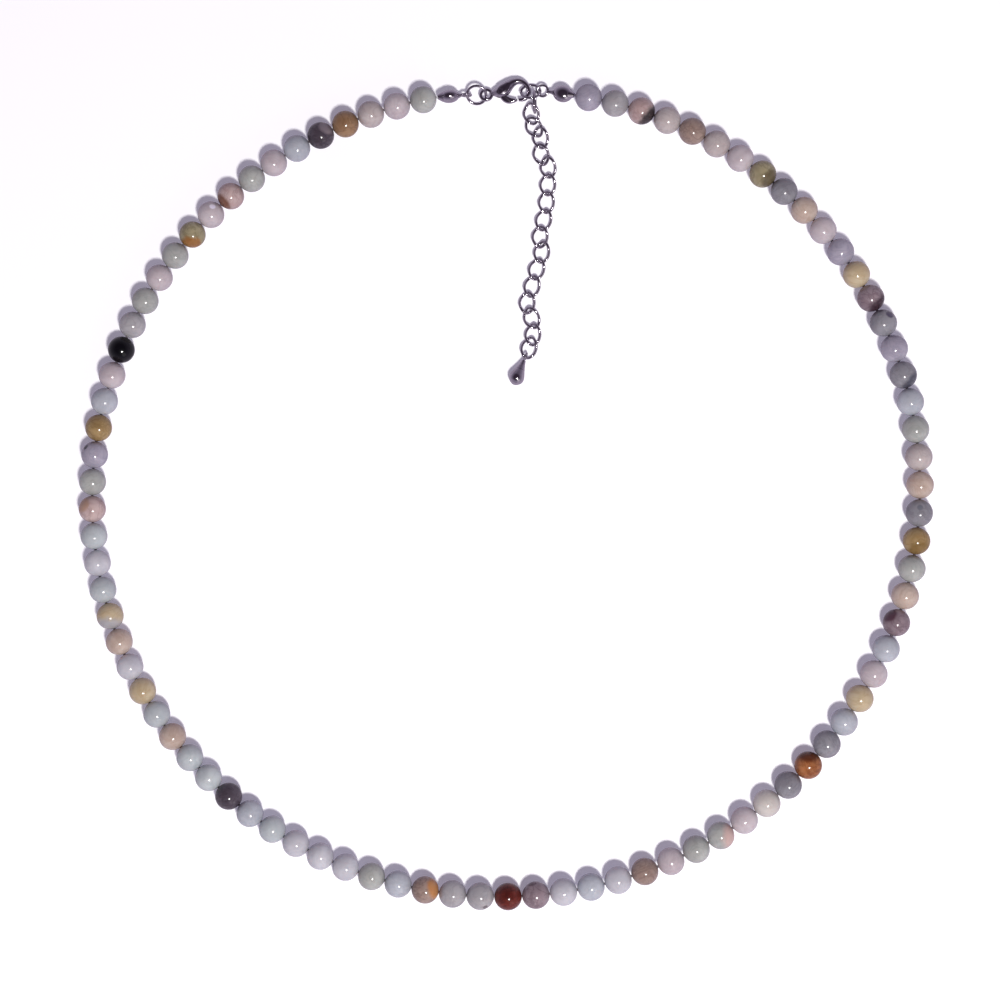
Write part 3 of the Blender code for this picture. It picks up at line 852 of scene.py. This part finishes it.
def paint_patch(bead, middle, patch):
    """Gives the bead its patch's colour and width, and each point's way from the patch's middle."""
    radius = bpy.context.scene.necklace_beads.diameter / 2
    colour, way, off_middle, width = patch
    way, off_middle, width = math.radians(way), math.radians(off_middle), math.radians(width)
    towards = np.array((
        math.sin(off_middle) * math.cos(way),
        math.sin(off_middle) * math.sin(way),
        math.cos(off_middle),
    ))
    count = len(bead.data.vertices)
    points = np.empty(count * 3, np.float32)
    bead.data.vertices.foreach_get("co", points)
    off_patch = (points.reshape(-1, 3) - np.array(middle)) / radius - towards
    layer = bead.data.attributes.new("off_patch", "FLOAT_VECTOR", "POINT")
    layer.data.foreach_set("vector", off_patch.astype(np.float32).ravel())
    layer = bead.data.color_attributes.new(name="patch", type="FLOAT_COLOR", domain="POINT")
    chord = 2 * math.sin(width / 2)
    layer.data.foreach_set("color", np.tile((*linear(colour), chord), count).astype(np.float32))


class NECKLACE_OT_beads(bpy.types.Operator):
    """Makes the polished stone beads in their order round the loop"""

    bl_idname = "necklace.beads"
    bl_label = "Make the beads"

    def execute(self, context):
        oval = placed_oval()
        pattern = bead_pattern()
        patches = {number: rest for number, *rest in PATCHES}
        for index, distance in enumerate(bead_distances()):
            middle = on_string(oval, distance)
            ahead = heading(oval, distance)
            spin = Matrix.Rotation(BEAD_TURN * index, 4, "Z")
            lie = ahead.to_track_quat("Z", "Y").to_matrix().to_4x4()
            # Uneven steps, so that no two neighbours are ground alike
            across = 1 - BEAD_NARROWER * abs(math.sin(1.7 * index))
            along = 1 - BEAD_SHORTER * abs(math.sin(2.9 * index + 1))
            shape = Matrix.Diagonal((across, 1, along, 1))
            bead = copy_of(pattern, Matrix.Translation(middle) @ lie @ spin @ shape)
            paint_patch(bead, middle, patches.get(index + 1, NO_PATCH))
            side = "right" if distance > 0 else "left"
            hand_over(
                bead, f"bead_{index + 1:02d}", stone_material(BEAD_ORDER[index]),
                [f"bead_string_{side}"],
            )
        bpy.data.objects.remove(pattern)
        return {"FINISHED"}


class NECKLACE_OT_thread(bpy.types.Operator):
    """Makes the braided thread that runs through each half of the beads"""

    bl_idname = "necklace.thread"
    bl_label = "Make the thread"

    def execute(self, context):
        beads = context.scene.necklace_beads
        oval = placed_oval()
        material = thread_material()
        distances = np.linspace(0.1 * MM, half_string(), beads.each_side + 1)
        for side, way in (("right", 1), ("left", -1)):
            places = [on_string(oval, way * distance) for distance in distances]
            thread = wire_piece(places, [beads.thread / 2] * len(places), steps=3, roundness=2)
            smooth(thread, 60)
            hand_over(
                thread, f"thread_{side}", material, [f"bead_string_{side}"]
            )
        return {"FINISHED"}


def tip_cups(width, depth):
    """Two cupped halves closed on each other as one ball 1 m wide, with a groove for the seam."""
    axis = 1 if width > depth else 0
    across_seam = Vector((0, 1, 0)) if width > depth else Vector((1, 0, 0))
    bpy.ops.mesh.primitive_uv_sphere_add(segments=40, ring_count=24, radius=0.5)
    ball = bpy.context.object
    bpy.ops.object.mode_set(mode="EDIT")
    for offset in (-SEAM_HALF, SEAM_HALF):
        bpy.ops.mesh.select_all(action="SELECT")
        bpy.ops.mesh.bisect(plane_co=across_seam * offset, plane_no=across_seam)
    bpy.ops.mesh.select_all(action="DESELECT")
    bpy.ops.object.mode_set(mode="OBJECT")
    points = ball.data.vertices
    for face in ball.data.polygons:
        face.select = all(abs(points[v].co[axis]) < SEAM_HALF + 0.001 for v in face.vertices)
    bpy.ops.object.mode_set(mode="EDIT")
    bpy.ops.mesh.extrude_region_shrink_fatten(TRANSFORM_OT_shrink_fatten={"value": -SEAM_DEPTH})
    bpy.ops.object.mode_set(mode="OBJECT")
    return ball


def tip_piece(mouth, loop_place, loop_matrix, loop_radius, width, depth):
    """A clamshell tip: two cups over the knot, a tongue with its loop, and the thread's collar."""
    way = (loop_place - mouth).normalized()
    middle = mouth + way * (TIP_STAND_OFF + TIP_LENGTH / 2)
    middle.z = TIP_HEIGHT
    towards = (loop_place - middle).normalized()
    level = Vector((way.x, way.y, 0)).normalized()
    side = Vector((0, 0, 1)).cross(level)
    tip = tip_cups(width, depth)
    tip.data.transform(Matrix.Diagonal((width, depth, TIP_LENGTH, 1)))
    lie = Matrix((side, Vector((0, 0, 1)), level)).transposed().to_4x4()
    lie.translation = middle
    tip.data.transform(lie)
    clean_up(tip)

    inside = middle + towards * TIP_LENGTH * 0.3
    front = middle + towards * TIP_LENGTH * 0.5
    tongue_end = loop_place - towards * loop_radius
    tongue = wire_piece([inside, front, (front + tongue_end) / 2, tongue_end], TONGUE_RADII)
    cut_or_join(tip, tongue, "UNION")
    back = mouth - middle
    wide, narrow = COLLAR_RADII
    bpy.ops.mesh.primitive_cone_add(vertices=24, radius1=wide, radius2=narrow, depth=1)
    collar = bpy.context.object
    collar.data.transform(Matrix.Diagonal((1, 1, back.length * 0.4, 1)))
    backwards = back.to_track_quat("Z", "Y").to_matrix().to_4x4()
    collar.data.transform(Matrix.Translation(middle + back * 0.8) @ backwards)
    cut_or_join(tip, collar, "UNION")
    loop = ring_piece(loop_radius, loop_radius, TIP_LOOP_WIRE)
    settle(loop, loop_matrix)
    cut_or_join(tip, loop, "UNION")
    smooth(tip, 40)
    return tip


class NECKLACE_OT_tips(bpy.types.Operator):
    """Makes the two clamshell tips that close over the ends of the thread"""

    bl_idname = "necklace.tips"
    bl_label = "Make the tips"

    def execute(self, context):
        oval = placed_oval()
        eye = clasp_eye()
        silver = silver_material("polished silver")
        for side, way, inwards, off_eye, tilt, loop_radius, width, depth in TIPS:
            low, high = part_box(f"bead_tip_{side}")
            edge = high.x if side == "left" else low.x
            loop_place = Vector((edge + way * inwards, eye.y + off_eye, TIP_LOOP_HEIGHT))
            matrix = Matrix.Translation(loop_place) @ turned(tilt, 0, 0)
            mouth = on_string(oval, way * half_string())
            mouth += (loop_place - mouth).normalized() * MOUTH_CLEARANCE
            tip = tip_piece(mouth, loop_place, matrix, loop_radius, width, depth)
            hand_over(tip, f"clamshell_{side}", silver, [f"bead_tip_{side}"])
        return {"FINISHED"}


class NECKLACE_OT_rings(bpy.types.Operator):
    """Makes the jump ring at the clasp's eye and the ring that the hook catches"""

    bl_idname = "necklace.rings"
    bl_label = "Make the rings"

    def execute(self, context):
        metal = context.scene.necklace_metal
        silver = silver_material("polished silver")
        rings = (
            ("jump_ring", metal.jump_ring_radius, metal.jump_ring_wire, metal.jump_ring_tilt),
            ("catch_ring", metal.catch_ring_radius, metal.catch_ring_wire, metal.catch_ring_tilt),
        )
        for node, radius, wire, tilt in rings:
            ring = ring_piece(radius, radius, wire)
            settle(ring, Matrix.Translation(middle_of(node)) @ turned(tilt, 0, 0))
            hand_over(ring, node + "_round", silver, [node])
        return {"FINISHED"}


class NECKLACE_OT_clasp(bpy.types.Operator):
    """Makes the claw: its eye, its slotted housing and its hook, with the rivet"""

    bl_idname = "necklace.clasp"
    bl_label = "Make the clasp"

    def execute(self, context):
        eye = clasp_eye()
        silver = silver_material("polished silver")
        body = flat_arm(HOOK_PATH, HOUSING_HALF, HOUSING_DEEPENED)
        ring = ring_piece(EYE_RADIUS, EYE_RADIUS, EYE_WIRE)
        settle(ring, turned(EYE_TILT, 0, 0))
        cut_or_join(body, ring, "UNION")
        cut_or_join(body, block(*LEVER_SLOT), "DIFFERENCE")
        cut_or_join(body, at_rivet(RIVET_HOLE_RADIUS, 4 * MM), "DIFFERENCE")
        round_edges(body, CLASP_ROUNDING, 50)
        smooth(body, 50)
        body.data.transform(Matrix.Translation(eye))
        hand_over(body, "claw", silver, ["clasp_body"])

        low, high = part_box("clasp_rivet")
        middle, length = (low + high) / 2, high.z - low.z
        lap = 0.01 * MM
        rivet = cylinder(RIVET_RADIUS, length - 2 * (HEAD_THICKNESS - lap), middle)
        for way in (1, -1):
            up = Vector((0, 0, way * (length - HEAD_THICKNESS) / 2))
            head = cylinder(HEAD_RADIUS, HEAD_THICKNESS, middle + up)
            apply_modifier(head, "BEVEL", width=HEAD_ROUNDING, segments=3, limit_method="ANGLE")
            cut_or_join(rivet, head, "UNION")
        settle(rivet)
        smooth(rivet, 40)
        hand_over(rivet, "rivet", silver, ["clasp_rivet"])
        return {"FINISHED"}


class NECKLACE_OT_lever(bpy.types.Operator):
    """Makes the sprung lever that closes the claw"""

    bl_idname = "necklace.lever"
    bl_label = "Make the lever"

    def execute(self, context):
        lever = flat_arm(LEVER_PATH, LEVER_HALF)
        cut_or_join(lever, at_rivet(BOSS_RADIUS, BOSS_THICKNESS), "UNION")
        cut_or_join(lever, at_rivet(RIVET_HOLE_RADIUS, 4 * MM), "DIFFERENCE")
        round_edges(lever, CLASP_ROUNDING, 40)
        smooth(lever, 50)
        lever.data.transform(Matrix.Translation(clasp_eye()))
        silver = silver_material("polished silver")
        hand_over(lever, "lever", silver, ["clasp_lever"], body="clasp_lever")
        return {"FINISHED"}


class NECKLACE_OT_extender(bpy.types.Operator):
    """Makes the extender's links, each through the next"""

    bl_idname = "necklace.extender"
    bl_label = "Make the extender"

    def execute(self, context):
        metal = context.scene.necklace_metal
        silver = silver_material("worn silver", wear=0.7)
        link = (metal.link_width / 2, metal.link_length / 2, metal.link_wire)
        first = ring_piece(*link)
        lie = turned(*(math.radians(angle) for angle in FIRST_LINK))
        settle(first, Matrix.Translation(middle_of("extender_link_00")) @ lie)
        hand_over(first, "link_00", silver, ["extender_link_00"])
        pattern = ring_piece(*link, metal.link_twist)
        settle(pattern)
        for index, (turn, roll) in enumerate(LINK_TURNS, start=1):
            node = f"extender_link_{index:02d}"
            lie = turned(0, math.radians(roll), math.radians(turn))
            link_piece = copy_of(pattern, Matrix.Translation(middle_of(node)) @ lie)
            hand_over(link_piece, f"link_{index:02d}", silver, [node])
        bpy.data.objects.remove(pattern)
        return {"FINISHED"}


class NECKLACE_OT_drop(bpy.types.Operator):
    """Makes the solid teardrop that ends the extender"""

    bl_idname = "necklace.drop"
    bl_label = "Make the drop"

    def execute(self, context):
        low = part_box("end_drop")[0]
        radius = 1.25 * MM
        length = 4.36 * MM
        loop_radius = 0.66 * MM
        loop_wire = 0.34 * MM
        loop_height = 0.83 * MM
        way = math.radians(-112)
        level = Vector((math.cos(way), math.sin(way), 0))
        widest = max(DROP_OUTLINE, key=lambda row: row[1])[0]
        rise = (radius - loop_height) / (widest * length + loop_radius)
        ahead = (level + Vector((0, 0, rise))).normalized()
        round_middle = Vector((low.x + radius, low.y + radius, radius))
        loop_place = round_middle - ahead * (widest * length + loop_radius)
        loop_place.z = loop_height
        start = loop_place + ahead * loop_radius
        places = [start + ahead * along * length for along, _ in DROP_OUTLINE]
        radii = [share * radius for _, share in DROP_OUTLINE]
        drop = wire_piece(places, radii, steps=8, roundness=12)
        loop = ring_piece(loop_radius, loop_radius, loop_wire)
        turn = turned(0, math.pi / 2, way - math.pi / 2)
        settle(loop, Matrix.Translation(loop_place) @ turn)
        cut_or_join(drop, loop, "UNION")
        smooth(drop, 60)
        hand_over(drop, "teardrop", silver_material("polished silver"), ["end_drop"])
        return {"FINISHED"}


def lay_table(stage):
    bpy.ops.mesh.primitive_plane_add(size=TABLE_SIZE, location=(0, 0, -0.02 * MM))
    table = bpy.context.object
    table.name = "table"
    material, wiring, shader = new_material("pale table")
    colour = tuple(stage.floor_colour)
    paler = tuple(min(1.0, part * 1.01) for part in colour)
    seen = wiring.blend(wiring.noise(wiring.place(), 6.0, detail=2.0), colour, paler)
    to_camera = wiring.add("ShaderNodeLightPath").outputs["Is Camera Ray"]
    wiring.give(shader, {
        "Base Color": wiring.blend(to_camera, stage.bounce_colour, seen),
        "Roughness": 0.85,
        "Specular IOR Level": 0.1,
        "Emission Color": opaque(stage.glow_colour),
        "Emission Strength": stage.glow,
    })
    table.data.materials.append(material)


def place_camera(stage):
    back = Vector((
        math.sin(stage.lean_right),
        -math.sin(stage.lean_near) * math.cos(stage.lean_right),
        math.cos(stage.lean_near) * math.cos(stage.lean_right),
    ))
    bpy.ops.object.camera_add(location=Vector(stage.aim) + back * stage.distance)
    camera = bpy.context.object
    camera.rotation_mode = "YXZ"
    camera.rotation_euler = (stage.lean_near, stage.lean_right, 0)
    camera.data.lens_unit = "FOV"
    camera.data.angle = 2 * math.atan(stage.view_width / 2 / stage.distance)
    camera.data.clip_start = 0.01
    bpy.context.scene.camera = camera


def hang_key_light(stage):
    place = Vector(KEY_PLACE)
    bpy.ops.object.light_add(type="AREA", location=place)
    key = bpy.context.object
    key.name = "key_light"
    key.data.shape = "DISK"
    key.data.size = KEY_WIDTH
    key.data.energy = stage.key_power
    key.data.color = KEY_COLOUR
    key.rotation_euler = place.to_track_quat("Z", "Y").to_euler()


def light_sky(stage):
    """A dark studio, paler at the horizon, with one bright panel at the lower right."""
    world = bpy.data.worlds.new("studio")
    world.use_nodes = True
    wiring = Wiring(world.node_tree)
    way = wiring.add("ShaderNodeTexCoord").outputs["Generated"]
    height = wiring.add("ShaderNodeSeparateXYZ", {"Vector": way}).outputs["Z"]
    sky = wiring.add("ShaderNodeValToRGB", {"Fac": height})
    for element, (position, colour) in zip(sky.color_ramp.elements, SKY):
        element.position = position
        element.color = opaque(colour)
    panel_way = Vector(PANEL_WAY).normalized()
    nearness = wiring.add("ShaderNodeVectorMath", {0: way, 1: panel_way}, operation="DOT_PRODUCT")
    panel = wiring.step(nearness.outputs["Value"], *PANEL_EDGES)
    lit = wiring.blend(panel, sky.outputs["Color"], PANEL_COLOUR)
    wiring.give(wiring.nodes["Background"], {"Color": lit, "Strength": stage.sky_power})
    bpy.context.scene.world = world


class NECKLACE_OT_stage(bpy.types.Operator):
    """Sets the pale table, the studio light and the camera above the necklace"""

    bl_idname = "necklace.stage"
    bl_label = "Set the stage"

    def execute(self, context):
        stage = context.scene.necklace_stage
        lay_table(stage)
        place_camera(stage)
        hang_key_light(stage)
        light_sky(stage)
        context.scene.view_settings.view_transform = "Standard"
        return {"FINISHED"}


OPERATORS = (
    NECKLACE_OT_stage,
    NECKLACE_OT_beads,
    NECKLACE_OT_thread,
    NECKLACE_OT_tips,
    NECKLACE_OT_rings,
    NECKLACE_OT_clasp,
    NECKLACE_OT_lever,
    NECKLACE_OT_extender,
    NECKLACE_OT_drop,
)


class NECKLACE_PT_panel(bpy.types.Panel):
    """Lists the necklace's sizes and the operators that make its pieces"""

    bl_idname = "NECKLACE_PT_panel"
    bl_label = "Beaded necklace"
    bl_space_type = "VIEW_3D"
    bl_region_type = "UI"
    bl_category = "Necklace"

    def draw(self, context):
        layout = self.layout
        for settings in (
            context.scene.necklace_beads,
            context.scene.necklace_loop,
            context.scene.necklace_metal,
            context.scene.necklace_stage,
        ):
            box = layout.box()
            for key in settings.__annotations__:
                box.prop(settings, key)
        for operator in OPERATORS:
            layout.operator(operator.bl_idname)


CLASSES = (NecklaceBeads, NecklaceLoop, NecklaceMetal, NecklaceStage, *OPERATORS, NECKLACE_PT_panel)


def register():
    for cls in CLASSES:
        bpy.utils.register_class(cls)
    bpy.types.Scene.necklace_beads = bpy.props.PointerProperty(type=NecklaceBeads)
    bpy.types.Scene.necklace_loop = bpy.props.PointerProperty(type=NecklaceLoop)
    bpy.types.Scene.necklace_metal = bpy.props.PointerProperty(type=NecklaceMetal)
    bpy.types.Scene.necklace_stage = bpy.props.PointerProperty(type=NecklaceStage)


def unregister():
    del bpy.types.Scene.necklace_stage
    del bpy.types.Scene.necklace_metal
    del bpy.types.Scene.necklace_loop
    del bpy.types.Scene.necklace_beads
    for cls in reversed(CLASSES):
        bpy.utils.unregister_class(cls)


def main():
    register()
    bpy.ops.necklace.stage()
    bpy.ops.necklace.beads()
    bpy.ops.necklace.thread()
    bpy.ops.necklace.tips()
    bpy.ops.necklace.rings()
    bpy.ops.necklace.clasp()
    bpy.ops.necklace.lever()
    bpy.ops.necklace.extender()
    bpy.ops.necklace.drop()


if __name__ == "__main__":
    main()
